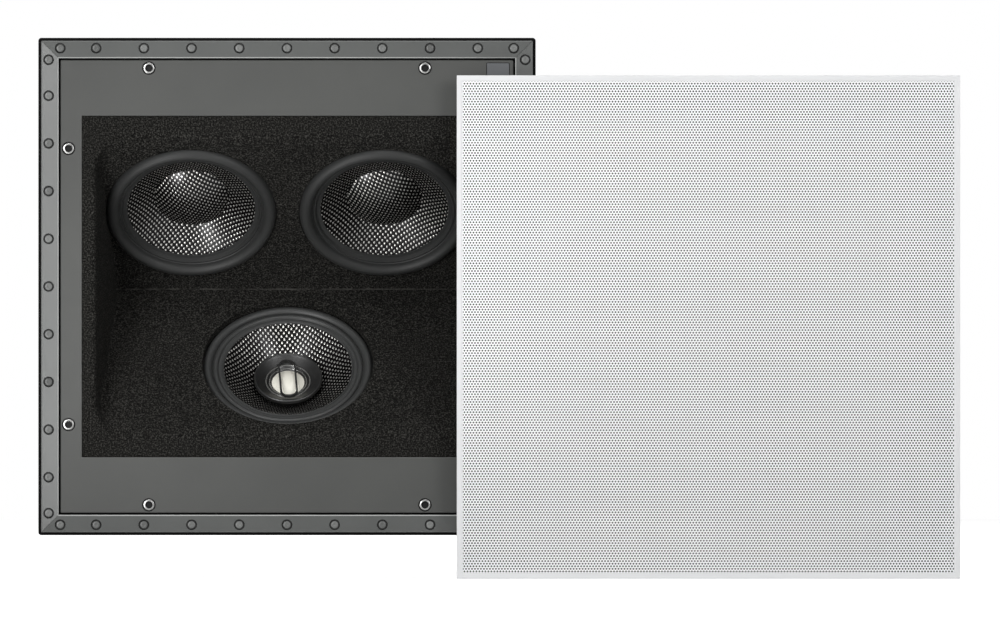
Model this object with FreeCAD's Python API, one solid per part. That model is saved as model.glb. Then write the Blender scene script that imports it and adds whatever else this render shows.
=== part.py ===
import FreeCAD, Part
import math
import os

Vector = FreeCAD.Vector

# Ceiling speaker: square frame, two woofers facing forward and down, one coaxial
# midrange facing forward and up, all set in a V-shaped recess lined with foam.
# Millimetres and degrees. Y = 0 is the plane where the flange meets the ceiling,
# -Y points into the room, +Z is up as the speaker is seen from the front.

# Drivers, measured from the middle of the baffle surface along each driver's axis
BASKET_R = 70.5
BASKET_FLANGE_T = 3.0
BASKET_FLANGE_W = 9.0
BASKET_TAPER = 8.0
BASKET_LEDGE_DEPTH = 33.0
BASKET_LEDGE_T = 3.0
BASKET_FLOOR_STEP = 10.5
BASKET_FLOOR_T = 2.5
BASKET_WALL = 2.6
BASKET_MOUTH_STEP = 1.9
BASKET_WINDOWS = 6
WINDOW_ANGLE = 36.0
EAR_R = 6.5
EAR_SCREW_OUT = 3.1
SURROUND_MARGIN = 1.7
SURROUND_T = 0.8
ROLL_MARGIN = 0.6
ROLL_W = 10.0
ROLL_H = 5.2
LIP_W = 4.4
LIP_DROP = 2.5
LIP_LEG_CLEAR = 0.6
RIDGE_SPLIT = 7.0
RIDGE_LIP = 2.4
RIDGE_OUTER_H = 3.2
RIDGE_INNER_H = 1.6
CONE_RIM = 2.5
WOOFER_CONE_DEPTH = 21.3
MID_CONE_DEPTH = 22.5
CONE_T = 0.9
CAP_R = 30.0
CAP_H = 9.0
CAP_T = 0.7
COIL_R = 20.1
COIL_T = 0.7
COIL_BOTTOM = 57.0
COIL_TOP_ABOVE_NECK = 2.0
WINDING_T = 0.8
WINDING_H = 12.0
SPIDER_T = 0.5
SPIDER_WAVE = 1.4
SPIDER_WAVES = 6
MOTOR_GAP = 0.8
TOP_PLATE_R = 38.0
TOP_PLATE_T = 6.0
MAGNET_RING_R = 42.0
MAGNET_RING_INNER_R = 26.0
MAGNET_RING_T = 16.0
YOKE_R = 40.0
YOKE_T = 6.0
POLE_VENT_R = 6.0
MOTOR_SEAT = 48.0

# Tweeter in the middle of the midrange
GUIDE_R = 27.5
GUIDE_RIM = 1.3
GUIDE_DEPTH = 9.0
GUIDE_THROAT_R = 14.1
GUIDE_THROAT_DEPTH = 15.6
GUIDE_LEDGE_R = 12.8
GUIDE_WALL = 1.2
STEM_R = 16.5
STEM_WALL = 1.7
DOME_R = 13.2
DOME_H = 3.6
DOME_T = 0.4
BRIDGE_HALF_W = 7.2
BRIDGE_BAR = 1.5
BRIDGE_T = 1.7
BRIDGE_FRONT = 10.2
BRIDGE_TURN = 4.0
TWEETER_MOTOR_H = 18.0

# Recess, baffle and foam
WOOFER_TILT = 43.5
COAX_TILT = 44.5
FOAM_T = 3.5
UP_FOAM_T = 2.0
LOW_FOAM_T = 7.7
FOAM_HOLE_PLAY = 0.2
WOOFER_SPACING = 156.0
WOOFER_EDGE = 8.1
WOOFER_CREASE = 14.9
COAX_EDGE = 7.6
RECESS_SIDE_CLEAR = 5.3
RECESS_DRAFT = 8.0
RECESS_CORNER_R = 30.0
LEDGE_SIDE = 11.2
LEDGE_TOP = 20.5
BAFFLE_PLATE_T = 2.5
BAFFLE_WALL = 6.0

# Box and front
BOX_CLEAR = 0.6
BOX_WALL = 3.0
BOX_BACK_CLEAR = 13.0
BOX_CORNER_R = 12.0
BOX_BACK_EDGE_R = 6.0
BOX_LIP = 1.4
BOX_LIP_T = 2.0
FLANGE_T = 5.0
FLANGE_CORNER_R = 2.5
LAND_T = 1.0
CUTOUT_PLAY = 1.5
BAFFLE_SEAT = 1.0
PANEL_T = 5.0
PANEL_GAP = 1.6
PANEL_EDGE = 0.5
RAIL_WIDTH = 14.0
RAIL_INSET = 2.4
RAIL_OUTER_H = 5.0
RAIL_INNER_H = 6.6
RAIL_EDGE = 0.8
MITRE_GAP = 0.3
GRILLE_MAGNET_R = 3.8
GRILLE_MAGNET_T = 3.0
GRILLE_MAGNET_PLAY = 0.5
GRILLE_MAGNET_DIMPLE_R = 0.9
GRILLE_MAGNET_SHIFT = 1.0
MIDDLE_MAGNETS = 9
END_MAGNET_INSET = 17.7
END_MAGNET_GAP = 28.9
PLATE_W = 18.0
PLATE_H = 30.0
PLATE_T = 1.6
PLATE_SEAT = 1.2
PLATE_PLAY = 0.5
PLATE_INSET_X = 3.3
PLATE_INSET_Z = 2.4

# Clamps that grip the ceiling board
CLAMP_OFFSET = 111.0
CLAMP_INSET = 6.4
CLAMP_CLEAR = 2.6
CLAMP_BOSS_R = 6.0
CLAMP_BOSS_H = 16.0
CLAMP_ARM_L = 30.0
CLAMP_ARM_W = 10.0
CLAMP_ARM_T = 9.0
CLAMP_PAD_R = 3.6
CLAMP_PAD_T = 1.5
CLAMP_REST_Y = 42.0
CLAMP_SCREW_R = 2.5
CLAMP_HEAD_R = 4.7
CLAMP_HEAD_T = 2.8
CLAMP_SOCKET = 4.9
CLAMP_SOCKET_DEPTH = 1.8
COUNTERBORE_R = 5.4
COUNTERBORE_DEPTH = 3.4
SHELF_GAP = 4.0
SHELF_T = 4.0
SHELF_W = 18.0
SHELF_FOOT_H = 14.0
SHELF_FOOT_T = 2.5
SCREW_TAIL = 4.0
THREAD_PLAY = 0.08
SCREW_PLAY = 0.3

# Assembly screws, all alike
SCREW_R = 1.9
SCREW_L = 8.0
SCREW_HEAD_R = 3.7
SCREW_HEAD_T = 2.0
SCREW_HOLE_PLAY = 0.15
BOX_SCREW_OFFSET = 138.0

# Terminals and crossover
TERMINAL_INSET = 55.0
CUP_W = 56.0
CUP_H = 36.0
CUP_DEPTH = 12.0
CUP_WALL = 2.0
CUP_LIP = 4.0
CUP_LIP_T = 2.5
CUP_PLAY = 0.3
TAB_W = 13.0
TAB_H = 14.0
TAB_T = 8.0
TAB_TRAVEL = 4.0
TAB_SPACING = 24.0
TAB_RAISE = 4.0
TAB_POST_R = 2.0
TAB_POST_PLAY = 0.15
WIRE_R = 1.6
WIRE_BOSS_R = 3.5
WIRE_BOSS_H = 5.0
WIRE_DROP = 10.0
BOARD_W = 150.0
BOARD_H = 64.0
BOARD_T = 1.6
BOARD_POST_H = 5.0
BOARD_POST_R = 3.5
BOARD_POST_INSET = 7.0
INDUCTOR_R = 16.0
INDUCTOR_BORE_R = 8.0
INDUCTOR_H = 13.0
CAPACITOR_W = 26.0
CAPACITOR_H = 12.0
CAPACITOR_T = 14.0

# Grille, taken off and held in front, to the right and a little lower
GRILLE_OVERHANG = 2.0
GRILLE_T = 1.0
GRILLE_WALL = 1.2
GRILLE_D = 5.0
GRILLE_BORDER = 4.0
GRILLE_LINE = 0.8
GRILLE_LINE_DEPTH = 0.4
GRILLE_CORNER_R = 1.5
GRILLE_SHIFT_X = 338.6
GRILLE_SHIFT_Z = -32.6
GRILLE_STANDOFF = 20.0

# Sizes that follow from those above
basket_body_r = BASKET_R - BASKET_FLANGE_W
basket_ledge_r = basket_body_r - BASKET_TAPER
basket_floor_r = basket_ledge_r - BASKET_FLOOR_STEP
basket_mouth_r = basket_body_r - BASKET_WALL - BASKET_MOUTH_STEP
ear_circle_r = BASKET_R + EAR_SCREW_OUT
surround_outer_r = BASKET_R - SURROUND_MARGIN
roll_outer_r = surround_outer_r - ROLL_MARGIN
roll_inner_r = roll_outer_r - ROLL_W
rim_r = roll_inner_r - LIP_W
ridge_split_r = rim_r + RIDGE_SPLIT
ridge_inner_r = rim_r + RIDGE_LIP
cone_r = rim_r - CONE_RIM
foam_hole_r = surround_outer_r + FOAM_HOLE_PLAY
tan_up = math.tan(math.radians(WOOFER_TILT))
cos_up = math.cos(math.radians(WOOFER_TILT))
sin_up = math.sin(math.radians(WOOFER_TILT))
tan_low = math.tan(math.radians(COAX_TILT))
cos_low = math.cos(math.radians(COAX_TILT))
sin_low = math.sin(math.radians(COAX_TILT))
tan_draft = math.tan(math.radians(RECESS_DRAFT))
cos_draft = math.cos(math.radians(RECESS_DRAFT))
woofer_x = WOOFER_SPACING / 2
slope_up = 2 * BASKET_R + WOOFER_EDGE + WOOFER_CREASE
slope_low = slope_up * sin_up / sin_low
recess_half_h = (slope_up * cos_up + slope_low * cos_low) / 2
recess_half_w = woofer_x + BASKET_R + RECESS_SIDE_CLEAR
baffle_face = -FLANGE_T
foam_face = baffle_face - FOAM_T
woofer_z = recess_half_h - (BASKET_R + WOOFER_EDGE) * cos_up
coax_z = -recess_half_h + (BASKET_R + COAX_EDGE) * cos_low
opening_half_w = recess_half_w + LEDGE_SIDE
opening_half_h = recess_half_h + LEDGE_TOP
box_inner_half = recess_half_w + (FOAM_T + BAFFLE_WALL) / cos_draft + BOX_CLEAR
box_half = box_inner_half + BOX_WALL
baffle_half = box_half + BAFFLE_SEAT
clamp_line = box_half + CLAMP_CLEAR + CLAMP_BOSS_R
panel_half = clamp_line + CLAMP_INSET
frame_half = panel_half + PANEL_GAP + RAIL_WIDTH + RAIL_INSET
rail_half = frame_half - RAIL_INSET
panel_front = -FLANGE_T - PANEL_T
yoke_back = MOTOR_SEAT + TOP_PLATE_T + MAGNET_RING_T + YOKE_T
neck_r = COIL_R + 0.1
floor_top = MOTOR_SEAT - BASKET_FLOOR_T


# Shape helpers
def block(x0, x1, y0, y1, z0, z1):
    return Part.makeBox(x1 - x0, y1 - y0, z1 - z0, Vector(x0, y0, z0))


def rod(x, z, radius, y0, y1):
    return Part.makeCylinder(radius, y1 - y0, Vector(x, y0, z), Vector(0, 1, 0))


def round_wire(half_w, half_h, corner, y):
    a = half_w - corner
    b = half_h - corner
    k = corner * math.sqrt(0.5)
    edges = []
    for sx, sz in ((1, 1), (-1, 1), (-1, -1), (1, -1)):
        first = Vector(sx * half_w, y, sz * b)
        middle = Vector(sx * (a + k), y, sz * (b + k))
        last = Vector(sx * a, y, sz * half_h)
        if sx * sz < 0:
            first, last = last, first
        edges.append((first, middle, last))
    out = []
    for i, (first, middle, last) in enumerate(edges):
        out.append(Part.Arc(first, middle, last).toShape())
        out.append(Part.makeLine(last, edges[(i + 1) % 4][0]))
    return Part.Wire(out)


def plate(half_w, half_h, y0, y1, corner):
    return Part.Face(round_wire(half_w, half_h, corner, y0)).extrude(Vector(0, y1 - y0, 0))


def turned(path):
    edges = []
    here = path[0]
    for step in path[1:] + [path[0]]:
        start = Vector(here[0], 0, here[1])
        if len(step) == 4:
            here = (step[2], step[3])
            edges.append(Part.Arc(start, Vector(step[0], 0, step[1]), Vector(here[0], 0, here[1])).toShape())
        else:
            here = step
            edges.append(Part.makeLine(start, Vector(here[0], 0, here[1])))
    return Part.Face(Part.Wire(edges)).revolve(Vector(0, 0, 0), Vector(0, 0, 1), 360)


def tube(outer_r, inner_r, w0, w1):
    return turned([(outer_r, w0), (outer_r, w1), (inner_r, w1), (inner_r, w0)])


def disc(radius, w0, w1):
    return Part.makeCylinder(radius, w1 - w0, Vector(0, 0, w0), Vector(0, 0, 1))


def put(shape, place):
    moved = shape.copy()
    moved.Placement = place.multiply(moved.Placement)
    return moved


def around(shape, quarter):
    turn = FreeCAD.Placement(Vector(0, 0, 0), FreeCAD.Rotation(Vector(0, 1, 0), 90.0 * quarter))
    return put(shape, turn)


def hexagon(across, x, z, y0, y1):
    radius = across / math.sqrt(3)
    points = []
    for i in range(7):
        angle = math.radians(60 * i + 30)
        points.append(Vector(x + radius * math.cos(angle), y0, z + radius * math.sin(angle)))
    return Part.Face(Part.makePolygon(points)).extrude(Vector(0, y1 - y0, 0))


def one_solid(shape):
    clean = shape.removeSplitter()
    return clean.Solids[0] if len(clean.Solids) == 1 else clean


def save(name, shape):
    shape.exportStep("parts/" + name + ".step")


os.makedirs("parts", exist_ok=True)


# The recess: two slopes that meet in a crease, between two drafted side walls
def behind(side, offset):
    lining = UP_FOAM_T if side > 0 else LOW_FOAM_T
    return offset + lining - FOAM_T if offset > 0 else 0.0


def slope_y(z, side, offset):
    if side > 0:
        return foam_face + (recess_half_h - z) * tan_up + behind(side, offset) / cos_up
    return foam_face + (recess_half_h + z) * tan_low + behind(side, offset) / cos_low


def slope_z(y, side, offset):
    if side > 0:
        return recess_half_h - (y - foam_face - behind(side, offset) / cos_up) / tan_up
    return -recess_half_h + (y - foam_face - behind(side, offset) / cos_low) / tan_low


def crease(offset):
    lean = recess_half_h * (tan_up - tan_low) + behind(1, offset) / cos_up - behind(-1, offset) / cos_low
    z = lean / (tan_up + tan_low)
    return slope_y(z, 1, offset), z


def wall_x(y, offset):
    return recess_half_w + offset / cos_draft - (y - foam_face) * tan_draft


def recess(offset):
    deep_y, deep_z = crease(offset)
    front_y = foam_face - 12.0
    points = [
        Vector(-1.5 * recess_half_w, front_y, slope_z(front_y, 1, offset)),
        Vector(-1.5 * recess_half_w, deep_y, deep_z),
        Vector(-1.5 * recess_half_w, front_y, slope_z(front_y, -1, offset)),
    ]
    wedge = Part.Face(Part.makePolygon(points + points[:1])).extrude(Vector(3 * recess_half_w, 0, 0))
    half_h = recess_half_h + offset
    corner = RECESS_CORNER_R + offset
    back_y = deep_y + 6.0
    front_wire = round_wire(wall_x(front_y, offset), half_h, corner, front_y)
    back_wire = round_wire(wall_x(back_y, offset), half_h, corner, back_y)
    return Part.makeLoft([front_wire, back_wire], True, True).common(wedge)


def driver_place(x, z, side):
    tilt = math.radians(WOOFER_TILT if side > 0 else COAX_TILT)
    sink = UP_FOAM_T if side > 0 else LOW_FOAM_T
    y = slope_y(z, side, 0.0) + sink * math.cos(tilt)
    origin = Vector(x, y, z + side * sink * math.sin(tilt))
    degrees = 90.0 + side * math.degrees(tilt)
    return FreeCAD.Placement(origin, FreeCAD.Rotation(Vector(1, 0, 0), degrees))


places = {
    "woofer_left": driver_place(-woofer_x, woofer_z, 1),
    "woofer_right": driver_place(woofer_x, woofer_z, 1),
    "mid": driver_place(0.0, coax_z, -1),
}


# Countersunk screw with its head flush at w = 0, and the hole it sits in
def assembly_screw():
    body = turned([
        (0, 0), (SCREW_HEAD_R, 0), (SCREW_HEAD_R, -0.3), (SCREW_R, -SCREW_HEAD_T),
        (SCREW_R, 0.6 - SCREW_L), (SCREW_R - 0.6, -SCREW_L), (0, -SCREW_L),
    ])
    slot = Part.makeBox(3.8, 0.9, 1.2, Vector(-1.9, -0.45, -1.2))
    slot = slot.fuse(Part.makeBox(0.9, 3.8, 1.2, Vector(-0.45, -1.9, -1.2)))
    return body.cut(slot)


def screw_hole(depth):
    play = SCREW_HOLE_PLAY
    return turned([
        (0, 1), (SCREW_HEAD_R + play, 1), (SCREW_HEAD_R + play, -0.3), (SCREW_R + play, -SCREW_HEAD_T),
        (SCREW_R + play, -depth), (0, -depth),
    ])


def ear_place(number):
    angle = math.radians(45 + 90 * number)
    spot = Vector(ear_circle_r * math.cos(angle), ear_circle_r * math.sin(angle), 0)
    return FreeCAD.Placement(spot, FreeCAD.Rotation())


def flange_outline(grow, w0, w1):
    shape = disc(BASKET_R + grow, w0, w1)
    for number in range(4):
        shape = shape.fuse(put(disc(EAR_R + grow, w0, w1), ear_place(number)))
    return shape


# Driver pieces, built about their own axis and then set on the slopes
def basket():
    body_inner = basket_body_r - BASKET_WALL - 0.4
    ledge_inner = basket_ledge_r - BASKET_WALL
    ledge_end = BASKET_LEDGE_DEPTH + BASKET_LEDGE_T
    shell = turned([
        (basket_mouth_r, 0), (BASKET_R, 0), (BASKET_R, -BASKET_FLANGE_T), (basket_body_r, -BASKET_FLANGE_T),
        (basket_ledge_r, 1 - BASKET_LEDGE_DEPTH), (basket_ledge_r, -ledge_end),
        (basket_floor_r, -floor_top), (basket_floor_r, -MOTOR_SEAT), (COIL_R + 3, -MOTOR_SEAT),
        (COIL_R + 3, -floor_top), (basket_floor_r - BASKET_WALL, -floor_top),
        (ledge_inner - 5.9, -ledge_end - 4), (ledge_inner - 5.9, -BASKET_LEDGE_DEPTH),
        (ledge_inner, -BASKET_LEDGE_DEPTH), (body_inner, -BASKET_FLANGE_T - 0.5),
        (basket_mouth_r, -BASKET_FLANGE_T),
    ])
    for number in range(4):
        ear = disc(EAR_R, -BASKET_FLANGE_T, 0).cut(disc(BASKET_R - 1, -BASKET_FLANGE_T, 0))
        shell = shell.fuse(put(ear, ear_place(number)).cut(disc(BASKET_R - 2, -BASKET_FLANGE_T, 0)))
    reach = 1.3 * BASKET_R
    half = math.radians(WINDOW_ANGLE / 2)
    top = -BASKET_FLANGE_T - 3.5
    low = 3.0 - BASKET_LEDGE_DEPTH
    corners = [
        Vector(COIL_R, 0, low),
        Vector(reach * math.cos(half), -reach * math.sin(half), low),
        Vector(reach * math.cos(half), reach * math.sin(half), low),
    ]
    window = Part.Face(Part.makePolygon(corners + corners[:1])).extrude(Vector(0, 0, top - low))
    for number in range(BASKET_WINDOWS):
        turn = FreeCAD.Rotation(Vector(0, 0, 1), 360.0 * number / BASKET_WINDOWS)
        shell = shell.cut(put(window, FreeCAD.Placement(Vector(0, 0, 0), turn)))
    for number in range(4):
        shell = shell.cut(put(screw_hole(BASKET_FLANGE_T + 1), ear_place(number)))
    return one_solid(shell)


def roll_path(outer, inner, height, w, thick):
    middle = (outer + inner) / 2
    return (middle, w + height, inner, w), (middle, w + height - thick, outer - thick, w - thick)


def woofer_surround():
    t = SURROUND_T
    over, under = roll_path(roll_outer_r, roll_inner_r, ROLL_H, t, t)
    lip_r = cone_r + 0.4
    low = -LIP_DROP
    leg_r = basket_mouth_r - LIP_LEG_CLEAR
    return turned([
        (surround_outer_r, 0), (surround_outer_r, t), (roll_outer_r, t), over,
        (leg_r - t, t), (leg_r - 2 * t, low + t), (lip_r, low + t), (lip_r, low),
        (leg_r - t, low), (leg_r, 0), (roll_inner_r + t, 0), under,
    ])


def mid_surround():
    t = SURROUND_T
    split = ridge_split_r
    over_a, under_a = roll_path(roll_outer_r, split + 0.4, RIDGE_OUTER_H, t, t)
    over_b, under_b = roll_path(split - 0.4, ridge_inner_r, RIDGE_INNER_H, t, t)
    lip_r = cone_r + 0.4
    return turned([
        (surround_outer_r, 0), (surround_outer_r, t), (roll_outer_r, t), over_a, (split - 0.4, t), over_b,
        (lip_r, t), (lip_r, 0), (ridge_inner_r + t, 0), under_b, (split + 0.4 + t, 0), under_a,
    ])


def cone(depth, drop):
    return turned([
        (rim_r, -drop), (cone_r, -drop), (neck_r, -depth), (neck_r, -depth - CONE_T * 1.25),
        (cone_r - 0.3, -drop - CONE_T * 1.1), (rim_r, -drop - CONE_T),
    ])


def shell_cap(radius, height, thick, base):
    sphere_r = (radius * radius + height * height) / (2 * height)
    half = 0.5 * radius
    rise = math.sqrt(sphere_r * sphere_r - half * half) - (sphere_r - height)
    return [
        (radius, base), (half, base + rise, 0, base + height), (0, base + height - thick),
        (half, base + rise - thick, radius - thick, base - 0.15 * thick),
    ]


def dust_cap():
    slope = (WOOFER_CONE_DEPTH - LIP_DROP) / (cone_r - neck_r)
    base = -LIP_DROP - (cone_r - CAP_R) * slope + 0.1
    path = shell_cap(CAP_R, CAP_H, CAP_T, base)
    return turned(path[:-1] + [path[-1][:2] + (CAP_R - CAP_T, base - CAP_T * slope)])


def voice_coil(cone_depth):
    top = COIL_TOP_ABOVE_NECK - cone_depth
    inner = COIL_R - COIL_T
    wound = COIL_R + WINDING_T
    return turned([
        (COIL_R, top), (COIL_R, WINDING_H - COIL_BOTTOM), (wound, WINDING_H - COIL_BOTTOM),
        (wound, -COIL_BOTTOM), (inner, -COIL_BOTTOM), (inner, top),
    ])


def spider():
    level = -BASKET_LEDGE_DEPTH
    t = SPIDER_T
    ledge_inner = basket_ledge_r - BASKET_WALL - 5.9
    first = COIL_R + 3.0
    last = ledge_inner - 0.8
    upper = []
    for i in range(2 * SPIDER_WAVES + 1):
        r = first + (last - first) * i / (2 * SPIDER_WAVES)
        wave = SPIDER_WAVE * (0, 1, 0, -1)[i % 4]
        upper.append((r, level + t + wave))
    lower = [(r, w - t) for r, w in reversed(upper)]
    edge = ledge_inner + 5.0
    return turned(
        [(neck_r, level), (neck_r, level + t)] + upper + [(edge, level + t), (edge, level)] + lower)


def top_plate():
    return tube(TOP_PLATE_R, COIL_R + WINDING_T + MOTOR_GAP, -MOTOR_SEAT - TOP_PLATE_T, -MOTOR_SEAT)


def ring_magnet():
    top = -MOTOR_SEAT - TOP_PLATE_T
    return tube(MAGNET_RING_R, MAGNET_RING_INNER_R, top - MAGNET_RING_T, top)


def yoke(vent_r):
    base = MOTOR_SEAT + TOP_PLATE_T + MAGNET_RING_T - yoke_back
    top = -MOTOR_SEAT - TOP_PLATE_T - MAGNET_RING_T
    shape = disc(YOKE_R, top + base, top).fuse(disc(COIL_R - COIL_T - MOTOR_GAP, top, -MOTOR_SEAT))
    if vent_r > 0:
        shape = shape.cut(disc(vent_r, top + base - 1, 1 - MOTOR_SEAT))
    return one_solid(shape)


# Left and right woofers
top_plates = []
ring_magnets = []
yokes = []
for name in ("woofer_left", "woofer_right"):
    spot = places[name]
    save(name + "_basket", put(basket(), spot))
    save(name + "_surround", put(woofer_surround(), spot))
    save(name + "_cone", put(cone(WOOFER_CONE_DEPTH, LIP_DROP), spot))
    save(name + "_dust_cap", put(dust_cap(), spot))
    save(name + "_voice_coil", put(voice_coil(WOOFER_CONE_DEPTH), spot))
    save(name + "_spider", put(spider(), spot))
    top_plates.append(put(top_plate(), spot))
    ring_magnets.append(put(ring_magnet(), spot))
    yokes.append(put(yoke(POLE_VENT_R), spot))

# Midrange on the lower slope
spot = places["mid"]
save("mid_basket", put(basket(), spot))
save("mid_surround", put(mid_surround(), spot))
save("mid_cone", put(cone(MID_CONE_DEPTH, 0.0), spot))
save("mid_voice_coil", put(voice_coil(MID_CONE_DEPTH), spot))
save("mid_spider", put(spider(), spot))
top_plates.append(put(top_plate(), spot))
ring_magnets.append(put(ring_magnet(), spot))
yokes.append(put(yoke(0.0), spot))
save("motor_top_plates", Part.makeCompound(top_plates))
save("motor_ring_magnets", Part.makeCompound(ring_magnets))
save("motor_yokes", Part.makeCompound(yokes))

# Tweeter: flared guide on a stem that stands on the midrange's pole
stem_inner = STEM_R - STEM_WALL
ledge = GUIDE_THROAT_DEPTH + 1.0
guide_slope = (GUIDE_THROAT_DEPTH - GUIDE_DEPTH) / (GUIDE_R - GUIDE_RIM - GUIDE_THROAT_R)
guide = turned([
    (GUIDE_R, -GUIDE_DEPTH), (GUIDE_R - GUIDE_RIM, -GUIDE_DEPTH), (GUIDE_THROAT_R, -GUIDE_THROAT_DEPTH),
    (GUIDE_THROAT_R, -ledge), (GUIDE_LEDGE_R, -ledge), (GUIDE_LEDGE_R, -ledge - 1.9),
    (stem_inner, -ledge - 1.9), (stem_inner, -MOTOR_SEAT), (STEM_R, -MOTOR_SEAT),
    (STEM_R, -ledge - 3.4), (GUIDE_R, -GUIDE_DEPTH - GUIDE_WALL),
])
save("tweeter_waveguide", put(guide, spot))
dome_base = -ledge + 0.7
dome = shell_cap(DOME_R, DOME_H, DOME_T, dome_base)
dome_rim = DOME_R + 0.6
dome_shape = turned(
    [(dome_rim, -ledge), (dome_rim, dome_base)] + dome + [(DOME_R - DOME_T, -ledge)])
save("tweeter_dome", put(dome_shape, spot))
motor_top = -ledge - 1.9
save("tweeter_motor", put(disc(stem_inner - 0.2, motor_top - TWEETER_MOTOR_H, motor_top), spot))

# Bridge: two bars with round ends, across the guide in front of the dome
back_level = BRIDGE_FRONT + BRIDGE_T
bridge_half_l = GUIDE_R - GUIDE_RIM - (back_level - GUIDE_DEPTH) / guide_slope - 0.15


def stadium(half_w, half_l, w0, w1):
    straight = half_l - half_w
    shape = Part.makeBox(2 * half_w, 2 * straight, w1 - w0, Vector(-half_w, -straight, w0))
    for way in (-1, 1):
        shape = shape.fuse(Part.makeCylinder(half_w, w1 - w0, Vector(0, way * straight, w0)))
    return shape.removeSplitter()


bridge = stadium(BRIDGE_HALF_W, bridge_half_l, -back_level, -BRIDGE_FRONT)
bridge = bridge.cut(
    stadium(BRIDGE_HALF_W - BRIDGE_BAR, bridge_half_l - BRIDGE_BAR, -back_level - 1, 1 - BRIDGE_FRONT))
lean = FreeCAD.Placement(Vector(0, 0, 0), FreeCAD.Rotation(Vector(0, 0, 1), BRIDGE_TURN))
save("tweeter_bridge", put(put(bridge, lean), spot))

# Baffle: a plate with the V-shaped trough behind it and the three driver seats
crease_back = crease(FOAM_T + BAFFLE_WALL)[0]
behind_face = block(-baffle_half, baffle_half, baffle_face, crease_back + 9, -baffle_half, baffle_half)
trough = recess(FOAM_T + BAFFLE_WALL).common(behind_face)
baffle = plate(baffle_half, baffle_half, baffle_face, baffle_face + BAFFLE_PLATE_T, 3.0)
baffle = baffle.fuse(trough).cut(recess(FOAM_T))
seat = flange_outline(0.3, -BASKET_FLANGE_T, 2.0)
seat = seat.fuse(disc(basket_body_r + 0.4, -30.0, 2.0))
for number in range(4):
    seat = seat.fuse(put(disc(SCREW_R + SCREW_HOLE_PLAY, -SCREW_L - 0.3, 0), ear_place(number)))
for spot in places.values():
    baffle = baffle.cut(put(seat, spot))
save("baffle", one_solid(baffle))

# Foam glued on the baffle, open round each driver
foam = plate(opening_half_w - 0.3, opening_half_h - 0.3, foam_face, baffle_face, 1.0)
lining = recess(FOAM_T).common(behind_face)
foam = foam.fuse(lining).cut(recess(0.0))
for spot in places.values():
    foam = foam.cut(put(disc(foam_hole_r, -1.0, LOW_FOAM_T + 3.0), spot))
save("baffle_foam", one_solid(foam))


# Clamps, two on each side: built on the top side and carried round
def clamp_spots():
    return [(quarter, way) for quarter in range(4) for way in (-1, 1)]


counter_floor = panel_front + COUNTERBORE_DEPTH
shelf_y = CLAMP_REST_Y + CLAMP_BOSS_H + SHELF_GAP
for number, (quarter, way) in enumerate(clamp_spots(), 1):
    x = way * CLAMP_OFFSET
    z = clamp_line
    head_back = counter_floor - 0.05
    head_front = head_back - CLAMP_HEAD_T
    tail = shelf_y + SHELF_T + SCREW_TAIL
    screw = rod(x, z, CLAMP_HEAD_R, head_front, head_back).fuse(rod(x, z, CLAMP_SCREW_R, head_back, tail))
    screw = screw.cut(hexagon(CLAMP_SOCKET, x, z, head_front - 1, head_front + CLAMP_SOCKET_DEPTH))
    save("clamp_screw_%d" % number, around(one_solid(screw), quarter))
    arm_y = CLAMP_REST_Y
    half = CLAMP_ARM_W / 2
    end_x = x - way * (CLAMP_ARM_L - half)
    arm = rod(x, z, CLAMP_BOSS_R, arm_y, arm_y + CLAMP_BOSS_H)
    arm = arm.fuse(block(min(x, end_x), max(x, end_x), arm_y, arm_y + CLAMP_ARM_T, z - half, z + half))
    arm = arm.fuse(rod(end_x, z, half, arm_y, arm_y + CLAMP_ARM_T))
    arm = arm.fuse(rod(end_x, z, CLAMP_PAD_R, arm_y - CLAMP_PAD_T, arm_y))
    web_x = x - way * (CLAMP_BOSS_R + 8.0)
    web = Part.Face(Part.makePolygon([
        Vector(x, arm_y + CLAMP_ARM_T, z - 2), Vector(x, arm_y + CLAMP_BOSS_H, z - 2),
        Vector(web_x, arm_y + CLAMP_ARM_T, z - 2), Vector(x, arm_y + CLAMP_ARM_T, z - 2),
    ])).extrude(Vector(0, 0, 4))
    arm = arm.fuse(web)
    arm = arm.cut(rod(x, z, CLAMP_SCREW_R + THREAD_PLAY, arm_y - 5, arm_y + CLAMP_BOSS_H + 1))
    save("clamp_arm_%d" % number, around(one_solid(arm), quarter))

# Front panel with its opening, counterbores and the seat of the corner plate
panel = plate(panel_half, panel_half, panel_front, -FLANGE_T, 1.0)
hollow = block(-opening_half_w, opening_half_w, panel_front - 1, 0, -opening_half_h, opening_half_h)
panel = panel.cut(hollow)
front_edges = []
for edge in panel.Edges:
    if all(abs(v.Y - panel_front) < 0.001 for v in edge.Vertexes):
        front_edges.append(edge)
panel = panel.makeChamfer(PANEL_EDGE, front_edges)
for quarter, way in clamp_spots():
    x = way * CLAMP_OFFSET
    hole = rod(x, clamp_line, COUNTERBORE_R, panel_front - 1, counter_floor)
    hole = hole.fuse(rod(x, clamp_line, CLAMP_SCREW_R + SCREW_PLAY, counter_floor, 1))
    panel = panel.cut(around(hole, quarter))
plate_x = panel_half - PLATE_INSET_X - PLATE_W / 2
plate_z = panel_half - PLATE_INSET_Z - PLATE_H / 2
plate_floor = panel_front + PLATE_SEAT
plate_at = FreeCAD.Placement(Vector(plate_x, 0, plate_z), FreeCAD.Rotation())
plate_seat = plate(
    PLATE_W / 2 + PLATE_PLAY, PLATE_H / 2 + PLATE_PLAY, panel_front - 1, plate_floor, 1.0 + PLATE_PLAY)
panel = panel.cut(put(plate_seat, plate_at))
cover = plate(PLATE_W / 2, PLATE_H / 2, plate_floor - PLATE_T, plate_floor, 1.0)
cover_edges = []
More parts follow.
